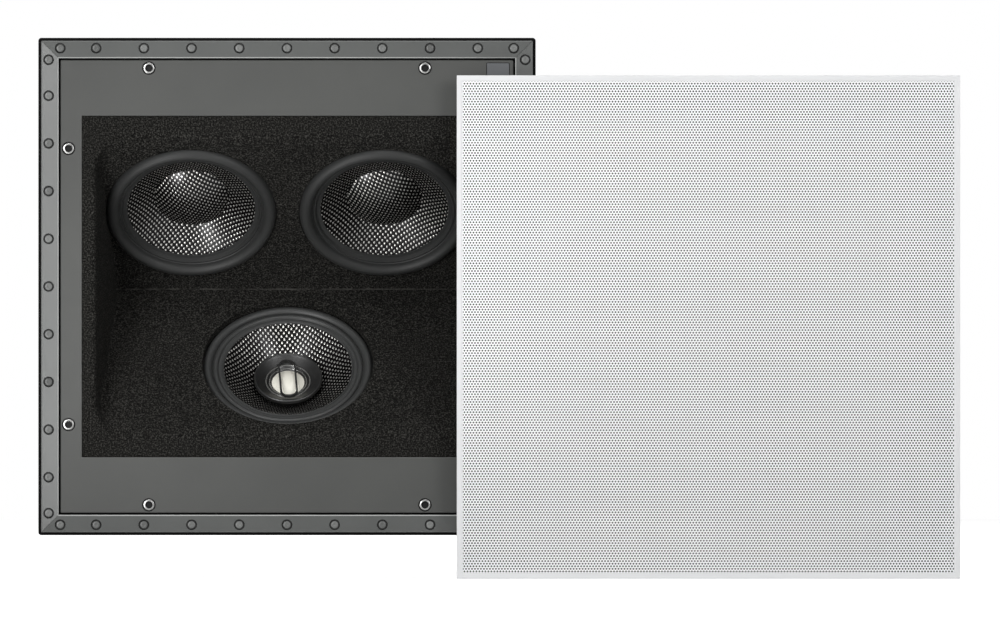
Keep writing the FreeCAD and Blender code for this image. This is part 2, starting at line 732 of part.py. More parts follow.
for edge in cover.Edges:
    if all(abs(v.Y - plate_floor + PLATE_T) < 0.001 for v in edge.Vertexes):
        cover_edges.append(edge)
save("corner_plate", put(cover.makeChamfer(0.3, cover_edges), plate_at))

# Screws from behind, through the flange into the panel, and those of the drivers
box_spots = []
for quarter in range(4):
    for x in (-BOX_SCREW_OFFSET, 0.0, BOX_SCREW_OFFSET):
        upright = FreeCAD.Placement(Vector(x, -LAND_T, clamp_line), FreeCAD.Rotation(Vector(1, 0, 0), -90))
        turn = FreeCAD.Placement(Vector(0, 0, 0), FreeCAD.Rotation(Vector(0, 1, 0), 90.0 * quarter))
        box_spots.append(turn.multiply(upright))
screws = [put(assembly_screw(), spot) for spot in box_spots]
for spot in places.values():
    for number in range(4):
        screws.append(put(assembly_screw(), spot.multiply(ear_place(number))))
save("assembly_screws", Part.makeCompound(screws))
for spot in box_spots:
    panel = panel.cut(put(screw_hole(SCREW_L + 0.3), spot))
save("front_panel", one_solid(panel))


# Rails: a bevelled section cut to mitred ends, built on top and carried round
def mitred_rail():
    base = -FLANGE_T
    points = []
    for across, high in (
        (0, 0), (0, RAIL_OUTER_H - RAIL_EDGE), (RAIL_EDGE, RAIL_OUTER_H),
        (RAIL_WIDTH - RAIL_EDGE, RAIL_INNER_H), (RAIL_WIDTH, RAIL_INNER_H - RAIL_EDGE), (RAIL_WIDTH, 0),
    ):
        points.append(Vector(-rail_half, base - high, rail_half - across))
    bar = Part.Face(Part.makePolygon(points + points[:1])).extrude(Vector(2 * rail_half, 0, 0))
    long_end = rail_half + 1 - MITRE_GAP / 2
    short_end = rail_half - RAIL_WIDTH - 1 - MITRE_GAP / 2
    deep = base - 2 * RAIL_INNER_H
    top_z = rail_half + 1
    low_z = rail_half - RAIL_WIDTH - 1
    outline = [
        Vector(-long_end, deep, top_z), Vector(long_end, deep, top_z),
        Vector(short_end, deep, low_z), Vector(-short_end, deep, low_z),
    ]
    return bar.common(Part.Face(Part.makePolygon(outline + outline[:1])).extrude(Vector(0, -deep, 0)))


magnet_across = RAIL_WIDTH / 2 - GRILLE_MAGNET_SHIFT
magnet_line = rail_half - magnet_across
magnet_top = -FLANGE_T - RAIL_OUTER_H - (RAIL_INNER_H - RAIL_OUTER_H) * magnet_across / RAIL_WIDTH
magnet_end = frame_half - END_MAGNET_INSET
magnet_pitch = 2 * (magnet_end - END_MAGNET_GAP) / (MIDDLE_MAGNETS - 1)
magnet_rows = [-magnet_end, magnet_end]
for i in range(MIDDLE_MAGNETS):
    magnet_rows.append((i - (MIDDLE_MAGNETS - 1) / 2) * magnet_pitch)
rail = mitred_rail()
discs = []
for x in magnet_rows:
    floor = magnet_top + GRILLE_MAGNET_T
    rail = rail.cut(rod(x, magnet_line, GRILLE_MAGNET_R + GRILLE_MAGNET_PLAY, magnet_top - 3, floor))
    magnet = rod(x, magnet_line, GRILLE_MAGNET_R, magnet_top, floor)
    discs.append(magnet.cut(rod(x, magnet_line, GRILLE_MAGNET_DIMPLE_R, magnet_top - 1, magnet_top + 0.4)))
all_discs = []
for quarter, name in enumerate(("rail_top", "rail_right", "rail_bottom", "rail_left")):
    save(name, around(one_solid(rail), quarter))
    for magnet in discs:
        all_discs.append(around(magnet, quarter))
save("grille_magnets", Part.makeCompound(all_discs))

# Flange ring that lies against the ceiling, stepped to seat the baffle
cutout_half = panel_half + CUTOUT_PLAY
seat_back = baffle_face + BAFFLE_PLATE_T
ring = plate(frame_half, frame_half, -FLANGE_T, 0, FLANGE_CORNER_R)
ring = ring.cut(plate(cutout_half, cutout_half, -LAND_T, 1, 2.0))
ring = ring.cut(plate(box_half, box_half, -FLANGE_T - 1, 1, BOX_CORNER_R))
ring = ring.cut(plate(baffle_half + 0.3, baffle_half + 0.3, -FLANGE_T - 1, seat_back, 3.0))
for quarter, way in clamp_spots():
    hole = rod(way * CLAMP_OFFSET, clamp_line, CLAMP_SCREW_R + SCREW_PLAY, -FLANGE_T - 1, 1)
    ring = ring.cut(around(hole, quarter))
for spot in box_spots:
    ring = ring.cut(put(screw_hole(FLANGE_T + 1), spot))
save("flange_ring", one_solid(ring))

# Brackets on the sides of the box that hold the tails of the clamp screws
brackets = []
for quarter, way in clamp_spots():
    x = way * CLAMP_OFFSET
    left = x - SHELF_W / 2
    right = x + SHELF_W / 2
    bracket = block(left, right, shelf_y, shelf_y + SHELF_T, box_half, clamp_line + CLAMP_BOSS_R)
    bracket = bracket.fuse(block(
        left, right, shelf_y, shelf_y + SHELF_FOOT_H, box_half, box_half + SHELF_FOOT_T))
    bracket = bracket.cut(rod(x, clamp_line, CLAMP_SCREW_R + SCREW_PLAY, shelf_y - 1, shelf_y + SHELF_T + 1))
    brackets.append(around(one_solid(bracket), quarter))
save("clamp_brackets", Part.makeCompound(brackets))

# Back box, whose lip lies behind the flange ring
yoke_reach = places["mid"].Base.y + yoke_back * cos_low + MAGNET_RING_R * sin_low
yoke_reach = max(yoke_reach, places["woofer_left"].Base.y + yoke_back * cos_up + MAGNET_RING_R * sin_up)
box_inner_back = yoke_reach + BOX_BACK_CLEAR
box_back = box_inner_back + BOX_WALL
box = plate(box_half, box_half, seat_back, box_back, BOX_CORNER_R)
back_edges = []
for edge in box.Edges:
    if all(abs(v.Y - box_back) < 0.001 for v in edge.Vertexes):
        back_edges.append(edge)
box = box.makeFillet(BOX_BACK_EDGE_R, back_edges)
lip_half = box_half + BOX_LIP
box = box.fuse(plate(lip_half, lip_half, -LAND_T, BOX_LIP_T - LAND_T, BOX_CORNER_R + BOX_LIP))
box = box.cut(plate(box_inner_half, box_inner_half, seat_back - 1, box_inner_back, BOX_CORNER_R - BOX_WALL))
terminal_x = TERMINAL_INSET - box_half
terminal_z = TERMINAL_INSET - box_half
cup_hole = block(
    terminal_x - CUP_W / 2 - CUP_PLAY, terminal_x + CUP_W / 2 + CUP_PLAY, box_inner_back - 1, box_back + 1,
    terminal_z - CUP_H / 2 - CUP_PLAY, terminal_z + CUP_H / 2 + CUP_PLAY)
box = box.cut(cup_hole)
board_back = box_inner_back - BOARD_POST_H
for sx in (-1, 1):
    for sz in (-1, 1):
        post_x = sx * (BOARD_W / 2 - BOARD_POST_INSET)
        post_z = sz * (BOARD_H / 2 - BOARD_POST_INSET)
        box = box.fuse(rod(post_x, post_z, BOARD_POST_R, board_back, box_inner_back + 1))
save("back_box", one_solid(box))

# Terminal cup on the back, with its two sprung tabs and wire sockets
cup_floor = box_back - CUP_DEPTH
cup_top = cup_floor + CUP_WALL
half_w = CUP_W / 2
half_h = CUP_H / 2
x = terminal_x
z = terminal_z
cup = block(x - half_w, x + half_w, cup_floor, box_back + 1, z - half_h, z + half_h)
lip = block(
    x - half_w - CUP_LIP, x + half_w + CUP_LIP, box_back, box_back + CUP_LIP_T,
    z - half_h - CUP_LIP, z + half_h + CUP_LIP)
cup = cup.fuse(lip).cut(block(
    x - half_w + CUP_WALL, x + half_w - CUP_WALL, cup_top, box_back + CUP_LIP_T + 1,
    z - half_h + CUP_WALL, z + half_h - CUP_WALL))
tab_back = cup_top + TAB_TRAVEL + 1.0
tab_front = tab_back + TAB_T
for way, name in ((-1, "terminal_black"), (1, "terminal_red")):
    tab_x = x + way * TAB_SPACING / 2
    tab_z = z + TAB_RAISE
    post_top = tab_front - 1.0 - TAB_TRAVEL - 0.5
    cup = cup.fuse(rod(tab_x, tab_z, TAB_POST_R, cup_top - 1, post_top))
    cup = cup.fuse(rod(tab_x, z - WIRE_DROP, WIRE_BOSS_R, cup_top - 1, cup_top + WIRE_BOSS_H))
    cup = cup.cut(rod(tab_x, z - WIRE_DROP, WIRE_R, cup_floor - 1, cup_top + WIRE_BOSS_H + 1))
    tab = block(tab_x - TAB_W / 2, tab_x + TAB_W / 2, tab_back, tab_front, tab_z - TAB_H / 2, tab_z + TAB_H / 2)
    tab = tab.cut(rod(tab_x, tab_z, TAB_POST_R + TAB_POST_PLAY, tab_back - 1, tab_front - 1.0))
    outer_edges = []
    for edge in tab.Edges:
        if len(edge.Vertexes) == 2 and all(abs(v.Y - tab_front) < 0.001 for v in edge.Vertexes):
            outer_edges.append(edge)
    save(name, tab.makeChamfer(1.0, outer_edges))
save("terminal_cup", one_solid(cup))

# Crossover board on its posts, with coils, capacitors and a resistor
board_front = board_back - BOARD_T
save("crossover_board", block(
    -BOARD_W / 2, BOARD_W / 2, board_front, board_back, -BOARD_H / 2, BOARD_H / 2))
parts = []
for coil_x in (-BOARD_W / 2 + INDUCTOR_R + 14, BOARD_W / 2 - INDUCTOR_R - 14):
    coil = rod(coil_x, 0, INDUCTOR_R, board_front - INDUCTOR_H, board_front)
    parts.append(coil.cut(rod(coil_x, 0, INDUCTOR_BORE_R, board_front - INDUCTOR_H - 1, board_front + 1)))
for row in (-1, 0, 1):
    low = row * (CAPACITOR_H + 4) - CAPACITOR_H / 2
    parts.append(block(
        -CAPACITOR_W / 2, CAPACITOR_W / 2, board_front - CAPACITOR_T, board_front, low, low + CAPACITOR_H))
save("crossover_parts", Part.makeCompound(parts))

# Grille: a shallow folded tray whose field is set in from a plain border
grille_half = frame_half + GRILLE_OVERHANG
grille_back = -FLANGE_T - RAIL_INNER_H - GRILLE_STANDOFF
grille_front = grille_back - GRILLE_D
grille = plate(grille_half, grille_half, grille_front, grille_back, GRILLE_CORNER_R)
grille_edges = []
for edge in grille.Edges:
    if all(abs(v.Y - grille_front) < 0.001 for v in edge.Vertexes):
        grille_edges.append(edge)
grille = grille.makeFillet(0.6, grille_edges)
inner_half = grille_half - GRILLE_WALL
grille = grille.cut(plate(inner_half, inner_half, grille_front + GRILLE_T, grille_back + 1, 0.6))
line_half = grille_half - GRILLE_BORDER
line = plate(line_half, line_half, grille_front - 1, grille_front + GRILLE_LINE_DEPTH, 1.2)
line = line.cut(plate(
    line_half - GRILLE_LINE, line_half - GRILLE_LINE, grille_front - 2, grille_front + 2, 0.6))
grille = grille.cut(line)
away = FreeCAD.Placement(Vector(GRILLE_SHIFT_X, 0, GRILLE_SHIFT_Z), FreeCAD.Rotation())
save("grille", put(one_solid(grille), away))
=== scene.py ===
import math
import bpy
from mathutils import Euler, Matrix, Vector


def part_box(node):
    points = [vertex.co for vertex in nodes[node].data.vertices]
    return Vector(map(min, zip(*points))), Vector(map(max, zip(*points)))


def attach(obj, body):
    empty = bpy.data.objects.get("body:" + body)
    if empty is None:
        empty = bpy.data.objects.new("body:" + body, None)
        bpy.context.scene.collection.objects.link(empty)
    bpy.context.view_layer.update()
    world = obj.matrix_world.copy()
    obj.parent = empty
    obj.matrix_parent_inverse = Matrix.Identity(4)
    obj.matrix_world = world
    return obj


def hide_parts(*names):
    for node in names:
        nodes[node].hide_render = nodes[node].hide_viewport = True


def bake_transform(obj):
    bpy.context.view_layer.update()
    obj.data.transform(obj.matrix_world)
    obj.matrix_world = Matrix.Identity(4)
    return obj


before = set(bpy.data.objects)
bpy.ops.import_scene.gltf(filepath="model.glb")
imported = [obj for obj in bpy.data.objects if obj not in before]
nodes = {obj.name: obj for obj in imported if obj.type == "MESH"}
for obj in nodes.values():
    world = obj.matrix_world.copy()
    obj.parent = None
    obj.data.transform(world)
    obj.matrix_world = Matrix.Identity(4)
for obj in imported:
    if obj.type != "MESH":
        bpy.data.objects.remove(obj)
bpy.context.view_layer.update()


# Back box, flange ring, clamp brackets and baffle: black mouldings with the fine
# grain of a spark-eroded tool. The ring lies against the ceiling, the box goes
# through the cut-out and the baffle closes it from the front.
def feed(tree, socket, value):
    """Links a socket to another one, or sets it to a constant."""
    if isinstance(value, bpy.types.NodeSocket):
        tree.links.new(value, socket)
    elif value is not None:
        socket.default_value = value


def ranged(tree, value, low, high, to_low=0.0, to_high=1.0, smooth=False):
    """Maps a value from one range to another."""
    node = tree.nodes.new("ShaderNodeMapRange")
    node.interpolation_type = "SMOOTHSTEP" if smooth else "LINEAR"
    feed(tree, node.inputs["Value"], value)
    feed(tree, node.inputs["From Min"], low)
    feed(tree, node.inputs["From Max"], high)
    feed(tree, node.inputs["To Min"], to_low)
    feed(tree, node.inputs["To Max"], to_high)
    return node.outputs["Result"]


def grained(name, dark, light, grain, rough, bump, metal=0.0, shine=0.5, spread=0.08):
    """Paint, plastic or metal of a cloudy tone with a fine grain, its size in metres."""
    finish = bpy.data.materials.new(name)
    finish.use_nodes = True
    tree = finish.node_tree
    shader = tree.nodes["Principled BSDF"]
    shader.inputs["Metallic"].default_value = metal
    shader.inputs["Specular IOR Level"].default_value = shine
    place = tree.nodes.new("ShaderNodeTexCoord")
    cloud = tree.nodes.new("ShaderNodeTexNoise")
    cloud.inputs["Scale"].default_value = 16.0
    cloud.inputs["Detail"].default_value = 4.0
    speck = tree.nodes.new("ShaderNodeTexNoise")
    speck.inputs["Scale"].default_value = 1.0 / grain
    speck.inputs["Detail"].default_value = 2.0
    tone = tree.nodes.new("ShaderNodeValToRGB")
    tone.color_ramp.elements[0].position = 0.32
    tone.color_ramp.elements[1].position = 0.68
    tone.color_ramp.elements[0].color = (*dark, 1)
    tone.color_ramp.elements[1].color = (*light, 1)
    relief = tree.nodes.new("ShaderNodeBump")
    relief.inputs["Strength"].default_value = bump
    relief.inputs["Distance"].default_value = grain * 0.4
    gloss = ranged(tree, speck.outputs["Fac"], 0.0, 1.0, rough - spread, rough + spread)
    join = tree.links.new
    join(place.outputs["Object"], cloud.inputs["Vector"])
    join(place.outputs["Object"], speck.inputs["Vector"])
    join(cloud.outputs["Fac"], tone.inputs["Fac"])
    join(tone.outputs["Color"], shader.inputs["Base Color"])
    join(gloss, shader.inputs["Roughness"])
    join(speck.outputs["Fac"], relief.inputs["Height"])
    join(relief.outputs["Normal"], shader.inputs["Normal"])
    return finish


def dress(names, finish):
    for name in names:
        nodes[name].data.materials.clear()
        nodes[name].data.materials.append(finish)


moulded_black = grained("moulded_black", (0.012, 0.012, 0.012), (0.02, 0.02, 0.02), 0.0008, 0.55, 0.35)
flange_black = grained(
    "flange_black", (0.004, 0.004, 0.004), (0.006, 0.006, 0.006), 0.0008, 0.6, 0.3, shine=0.06)
dress(["back_box", "clamp_brackets", "baffle"], moulded_black)
dress(["flange_ring"], flange_black)


# Terminal cup with its red and black push tabs, sunk in the back of the box.
# Glossier plastic than the box; the tabs are moulded in their own colour.
cup_black = grained("cup_black", (0.014, 0.014, 0.014), (0.022, 0.022, 0.022), 0.0012, 0.38, 0.12)
tab_red = grained("tab_red", (0.42, 0.012, 0.012), (0.52, 0.02, 0.018), 0.0015, 0.3, 0.08)
tab_black = grained("tab_black", (0.012, 0.012, 0.013), (0.02, 0.02, 0.02), 0.0015, 0.3, 0.08)
dress(["terminal_cup"], cup_black)
dress(["terminal_red"], tab_red)
dress(["terminal_black"], tab_black)


# Crossover board on its posts inside the box, with copper coils and capacitors.
# Hidden once the baffle is in, so finished plainly.
board_green = grained("board_green", (0.012, 0.10, 0.04), (0.02, 0.15, 0.06), 0.002, 0.4, 0.1)
coil_copper = grained("coil_copper", (0.30, 0.14, 0.05), (0.42, 0.2, 0.08), 0.0006, 0.35, 0.3)
dress(["crossover_board"], board_green)
dress(["crossover_parts"], coil_copper)


# Driver baskets, motors, voice coils and spiders, all behind the baffle: painted
# castings, plated steel, black ferrite, black formers and resin-stiffened cloth.
cast_black = grained("cast_black", (0.03, 0.03, 0.03), (0.045, 0.045, 0.045), 0.0008, 0.5, 0.3)
plated_steel = grained(
    "plated_steel", (0.36, 0.35, 0.33), (0.46, 0.45, 0.43), 0.0005, 0.36, 0.08, metal=1.0)
ferrite_black = grained("ferrite_black", (0.03, 0.03, 0.033), (0.05, 0.05, 0.055), 0.0006, 0.7, 0.4)
former_black = grained(
    "former_black", (0.01, 0.01, 0.01), (0.016, 0.016, 0.016), 0.0006, 0.5, 0.2, shine=0.2)
spider_cloth = grained("spider_cloth", (0.34, 0.24, 0.09), (0.45, 0.34, 0.15), 0.0007, 0.85, 0.6)
dress(["woofer_left_basket", "woofer_right_basket", "mid_basket"], cast_black)
dress(["motor_top_plates", "motor_yokes", "tweeter_motor", "assembly_screws"], plated_steel)
dress(["motor_ring_magnets"], ferrite_black)
dress(["woofer_left_voice_coil", "woofer_right_voice_coil", "mid_voice_coil"], former_black)
dress(["woofer_left_spider", "woofer_right_spider", "mid_spider"], spider_cloth)


# Cones: pressed from a cloth of silvered and black tows in clear resin, three alike.
# Each is glued to its voice coil at the neck and to its surround at the rim, and is
# turned about Z, then set on its slope: the driver's centre and its lean about X.
SEATS = {
    "woofer_left": (Vector((-0.078, 0.047055, 0.061282)), math.radians(133.5)),
    "woofer_right": (Vector((0.078, 0.047055, 0.061282)), math.radians(133.5)),
    "mid": (Vector((0.0, 0.051733, -0.066612)), math.radians(45.5)),
}
TOW = 0.0021
SILVER = (0.66, 0.645, 0.615)
BLACK_TOW = (0.006, 0.006, 0.006)


def turned(name, section, sides, crisp=35.0):
    """Spins a closed section, points of (radius, height) in millimetres, once round Z."""
    bpy.ops.object.select_all(action="DESELECT")
    bpy.ops.mesh.primitive_circle_add(vertices=len(section), radius=0.05)
    piece = bpy.context.object
    piece.name = name
    for vertex, (radius, height) in zip(piece.data.vertices, section):
        vertex.co = (radius / 1000, 0, height / 1000)
    bpy.ops.object.mode_set(mode="EDIT")
    bpy.ops.mesh.select_all(action="SELECT")
    bpy.ops.mesh.spin(steps=sides, angle=2 * math.pi, center=(0, 0, 0), axis=(0, 0, 1))
    bpy.ops.mesh.select_all(action="SELECT")
    bpy.ops.mesh.remove_doubles(threshold=0.000002)
    bpy.ops.mesh.dissolve_degenerate(threshold=0.000002)
    bpy.ops.mesh.delete_loose()
    bpy.ops.mesh.select_all(action="SELECT")
    bpy.ops.mesh.normals_make_consistent(inside=False)
    bpy.ops.object.mode_set(mode="OBJECT")
    bpy.ops.object.shade_smooth_by_angle(angle=math.radians(crisp))
    return piece


def set_on_slope(piece, driver):
    centre, tilt = SEATS[driver]
    bpy.ops.object.select_all(action="DESELECT")
    piece.select_set(True)
    bpy.context.view_layer.objects.active = piece
    piece.rotation_euler = (tilt, 0, 0)
    piece.location = centre
    bpy.ops.object.transform_apply(location=True, rotation=True, scale=True)


def reckon(tree, what, first, second=None, third=None):
    """One step of arithmetic on sockets or constants."""
    node = tree.nodes.new("ShaderNodeMath")
    node.operation = what
    for socket, value in zip(node.inputs, (first, second, third)):
        feed(tree, socket, value)
    return node.outputs[0]


def mixed(tree, share, first, second, how="MIX"):
    """Mixes two colours, sockets or constants, by a share."""
    node = tree.nodes.new("ShaderNodeMix")
    node.data_type = "RGBA"
    node.blend_type = how
    feed(tree, node.inputs["Factor"], share)
    feed(tree, node.inputs["A"], first)
    feed(tree, node.inputs["B"], second)
    return node.outputs["Result"]


def woven(name, driver, twist):
    """Plain weave laid across the driver's own axis; every other crossing is silver, and each tow is
    painted darker towards its low edges as shade between the tows.
    """
    centre, tilt = SEATS[driver]
    finish = bpy.data.materials.new(name)
    finish.use_nodes = True
    tree = finish.node_tree
    join = tree.links.new
    shader = tree.nodes["Principled BSDF"]
    place = tree.nodes.new("ShaderNodeTexCoord")
    turn = tree.nodes.new("ShaderNodeMapping")
    turn.vector_type = "TEXTURE"
    turn.inputs["Location"].default_value = centre
    lay = Euler((tilt, 0, 0)).to_matrix() @ Euler((0, 0, math.radians(twist))).to_matrix()
    turn.inputs["Rotation"].default_value = lay.to_euler()
    join(place.outputs["Object"], turn.inputs["Vector"])
    across = tree.nodes.new("ShaderNodeSeparateXYZ")
    join(turn.outputs["Vector"], across.inputs["Vector"])

    warp = reckon(tree, "DIVIDE", across.outputs["X"], TOW)
    weft = reckon(tree, "DIVIDE", across.outputs["Y"], TOW)
    square = reckon(tree, "ADD", reckon(tree, "FLOOR", warp), reckon(tree, "FLOOR", weft))
    over = reckon(tree, "FLOORED_MODULO", square, 2.0)
    warp_round = reckon(tree, "SINE", reckon(tree, "MULTIPLY", reckon(tree, "FRACT", warp), math.pi))
    weft_round = reckon(tree, "SINE", reckon(tree, "MULTIPLY", reckon(tree, "FRACT", weft), math.pi))
    warp_top = reckon(tree, "MULTIPLY", warp_round, reckon(tree, "MULTIPLY_ADD", weft_round, 0.6, 0.4))
    weft_top = reckon(tree, "MULTIPLY", weft_round, reckon(tree, "MULTIPLY_ADD", warp_round, 0.6, 0.4))
    lift = tree.nodes.new("ShaderNodeMix")
    join(over, lift.inputs["Factor"])
    join(weft_top, lift.inputs["A"])
    join(warp_top, lift.inputs["B"])
    height = lift.outputs["Result"]

    thread = mixed(tree, over, (*BLACK_TOW, 1), (*SILVER, 1))
    # Painted shade: each tow darkens towards its low edges, between the crossings.
    tow_edge_shade = ranged(tree, height, 0.44, 0.8, 0.02, 1.0)
    colour = mixed(tree, 1.0, thread, tow_edge_shade, how="MULTIPLY")
    glazed = reckon(tree, "MULTIPLY_ADD", reckon(tree, "MULTIPLY", over, tow_edge_shade), 0.82, 0.18)
    fibre = tree.nodes.new("ShaderNodeTexNoise")
    fibre.inputs["Scale"].default_value = 2600.0
    join(turn.outputs["Vector"], fibre.inputs["Vector"])
    relief = tree.nodes.new("ShaderNodeBump")
    relief.inputs["Strength"].default_value = 0.9
    relief.inputs["Distance"].default_value = TOW * 0.2
    join(height, relief.inputs["Height"])
    join(colour, shader.inputs["Base Color"])
    join(colour, shader.inputs["Specular Tint"])
    join(glazed, shader.inputs["Coat Weight"])
    join(ranged(tree, fibre.outputs["Fac"], 0.0, 1.0, 0.18, 0.34), shader.inputs["Roughness"])
    join(relief.outputs["Normal"], shader.inputs["Normal"])
    shader.inputs["Metallic"].default_value = 0.72
    shader.inputs["Coat Roughness"].default_value = 0.26
    shader.inputs["Coat IOR"].default_value = 2.0
    return finish


woofer_section = [
    (53.8, -2.52), (52.2, -2.52), (51.2, -2.75), (50.4, -3.15),
    (20.2, -21.3), (20.2, -22.4), (50.8, -3.85), (53.8, -3.4),
]
mid_section = [
    (53.8, -0.02), (52.2, -0.02), (51.2, -0.3), (50.4, -0.75),
    (20.2, -22.5), (20.2, -23.6), (50.8, -1.4), (53.8, -0.9),
]
for driver, section, twist in (
    ("woofer_left", woofer_section, -9.0),
    ("woofer_right", woofer_section, -7.0),
    ("mid", mid_section, 6.0),
):
    cone = turned(driver + "_woven_cone", section, 160)
    set_on_slope(cone, driver)
    cone.data.materials.append(woven("woven_" + driver, driver, twist))
    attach(cone, driver + "_moving")
    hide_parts(driver + "_cone")


# Dust caps: shallow domes of the same cloth, glued on the two woofer cones. Each is
# a thin dish of a sphere, with its points closer together towards the rim.
def dished(radius, base, sphere, wall, narrow, steps, bunch):
    """Section of a dish in millimetres: its outside to the middle, its inside back out."""
    foot = math.sqrt(sphere ** 2 - radius ** 2)
    outside = []
    inside = []
    for i in range(steps + 1):
        r = radius * (1 - (i / steps) ** bunch)
        rise = math.sqrt(sphere ** 2 - r ** 2) - foot
        outside.append((r, base + rise))
        inside.append((r * narrow, base - wall + rise))
    return outside + inside[::-1]


CAP_BASE = -15.27
cap_section = [(29.9, CAP_BASE - 0.6)] + dished(30.0, CAP_BASE, 54.5, 0.7, 0.977, 14, 1.4)
for driver, twist in (("woofer_left", 14.0), ("woofer_right", 24.0)):
    cap = turned(driver + "_woven_cap", cap_section, 128)
    set_on_slope(cap, driver)
    cap.data.materials.append(woven("woven_%s_cap" % driver, driver, twist))
    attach(cap, driver + "_moving")
    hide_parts(driver + "_dust_cap")


# Surrounds: moulded rubber, a tall half roll on each woofer and two low ridges on the
# midrange. The outer edge is glued to the basket, the inner lip to the cone, so each
# is made in two rings that meet on the crest.
ROLL, ROLL_UNDER = (63.4, 5.2, 0.8, 6.4), (63.4, 4.4, 0.02, 6.4)
RIDGE, RIDGE_UNDER = (64.7, 3.5, 0.8, 3.2), (64.7, 2.7, 0.02, 3.2)
LOW_RIDGE, LOW_RIDGE_UNDER = (58.3, 2.1, 0.8, 1.6), (58.3, 1.3, 0.02, 1.6)


def arch(middle, half, foot, rise, start, end, steps):
    points = []
    for i in range(steps + 1):
        angle = math.radians(start + (end - start) * i / steps)
        points.append((middle + half * math.cos(angle), foot + rise * math.sin(angle)))
    return points


# One rubber in two copies: the woofers' rolls are painted darker and the midrange's ridges lighter,
# standing in for how the light falls on each.
roll_rubber_painted_shade = grained(
    "roll_rubber_painted_shade", (0.021, 0.0216, 0.0212), (0.027, 0.0277, 0.0272), 0.0005, 0.52, 0.05,
    shine=0.34, spread=0.05)
ridge_rubber_painted_light = grained(
    "ridge_rubber_painted_light", (0.03, 0.031, 0.0305), (0.037, 0.038, 0.0375), 0.0005, 0.46, 0.05, spread=0.05)
edge = [(68.8, 0.02), (68.8, 0.5), (68.65, 0.75)]
woofer_lip = [
    (57.6, 0.75), (56.9, 0.85), (56.5, 1.15), (56.0, 1.15), (55.75, 0.8), (55.3, -0.6), (54.8, -1.5),
    (54.2, -1.75), (52.4, -1.7), (51.8, -1.85), (51.6, -2.2), (51.6, -2.5), (55.6, -2.5), (56.4, 0.02),
    (58.6, 0.02),
]
mid_lip = [
    (55.9, 0.7), (55.0, 0.8), (54.0, 0.75), (53.15, 0.5), (52.95, 1.0), (52.65, 1.1), (52.35, 0.95),
    (52.05, 0.8), (51.75, 0.65), (51.6, 0.3), (51.6, 0.02), (56.9, 0.02),
]
woofer_outer = edge + arch(*ROLL, 4, 90, 20) + arch(*ROLL_UNDER, 90, 0, 12)
woofer_inner = arch(*ROLL, 90, 176, 20) + woofer_lip + arch(*ROLL_UNDER, 176, 90, 12)
mid_outer = edge + arch(*RIDGE, 5, 90, 16) + arch(*RIDGE_UNDER, 90, 0, 10)
mid_inner = (
    arch(*RIDGE, 90, 176, 16) + [(61.0, 0.5), (60.7, 0.5)] + arch(*LOW_RIDGE, 6, 174, 16) + mid_lip
    + arch(*LOW_RIDGE_UNDER, 180, 0, 8) + arch(*RIDGE_UNDER, 180, 90, 10))
for driver, outer, inner, shape, rubber in (
    ("woofer_left", woofer_outer, woofer_inner, ROLL, roll_rubber_painted_shade),
    ("woofer_right", woofer_outer, woofer_inner, ROLL, roll_rubber_painted_shade),
    ("mid", mid_outer, mid_inner, RIDGE, ridge_rubber_painted_light),
):
    centre, tilt = SEATS[driver]
    _, _, base, crest = shape
    ahead = Euler((tilt, 0, 0)).to_matrix() @ Vector((0, 0, 0.001))
    foot = centre + base * ahead
    beyond = centre + (base + 2 * crest) * ahead
    for part, section, first, last in (("outer", outer, foot, beyond), ("inner", inner, beyond, foot)):
        ring = turned("%s_surround_%s" % (driver, part), section, 144)
        set_on_slope(ring, driver)
        ring.data.materials.append(rubber)
        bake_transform(ring)
        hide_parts(driver + "_surround")


# Tweeter: a smooth black flared guide on the midrange's pole, a pale cloth dome in its
# throat, and a wire-thin bridge of two bars with round ends that shields the dome.
# Two raised rings in the guide's throat get a light semi-metal colour, painted highlight standing in for
# thin bright lines on them.
guide_black = grained(
    "guide_black", (0.009, 0.009, 0.009), (0.014, 0.014, 0.014), 0.002, 0.36, 0.0, shine=0.75, spread=0.02)
guide_ring_painted_highlight = grained(
    "guide_ring_painted_highlight", (0.24, 0.24, 0.23), (0.28, 0.28, 0.27), 0.002, 0.25, 0.0, metal=0.6, spread=0.02)
rim = [(27.1, -12.4), (27.5, -12.1)] + arch(26.4, 1.1, -10.1, 1.1, 0, 105, 7)
flare = [(26.0 - 7.4 * i / 8, -9.15 - 4.35 * (i / 8) ** 0.9) for i in range(1, 9)]
throat = [
    (18.5, -13.75), (18.2, -13.75), (18.0, -13.45), (17.6, -13.45), (17.3, -13.85), (16.0, -14.6),
    (15.7, -14.85), (15.4, -14.85), (15.25, -14.5), (14.85, -14.45), (14.6, -14.8), (13.7, -15.4),
    (13.3, -15.5), (13.3, -15.7), (14.1, -15.75), (14.1, -16.6), (12.8, -16.6), (12.8, -18.5),
]
stem = [(14.8, -18.5), (14.8, -48.0), (16.5, -48.0), (16.5, -20.0)]
guide = turned("tweeter_flared_guide", rim + flare + throat + stem, 128)
set_on_slope(guide, "mid")
guide.data.materials.append(guide_black)
guide.data.materials.append(guide_ring_painted_highlight)
centre, tilt = SEATS["mid"]
flat = (Matrix.Translation(centre) @ Euler((tilt, 0, 0)).to_matrix().to_4x4()).inverted()
# Painted highlight: faces on the two raised rings take the light colour.
for face in guide.data.polygons:
    spot = flat @ face.center
    out = spot.xy.length
    if spot.z > -0.0149 and (0.01455 < out < 0.0154 or 0.0174 < out < 0.0182):
        face.material_index = 1
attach(guide, "chassis")
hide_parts("tweeter_waveguide")

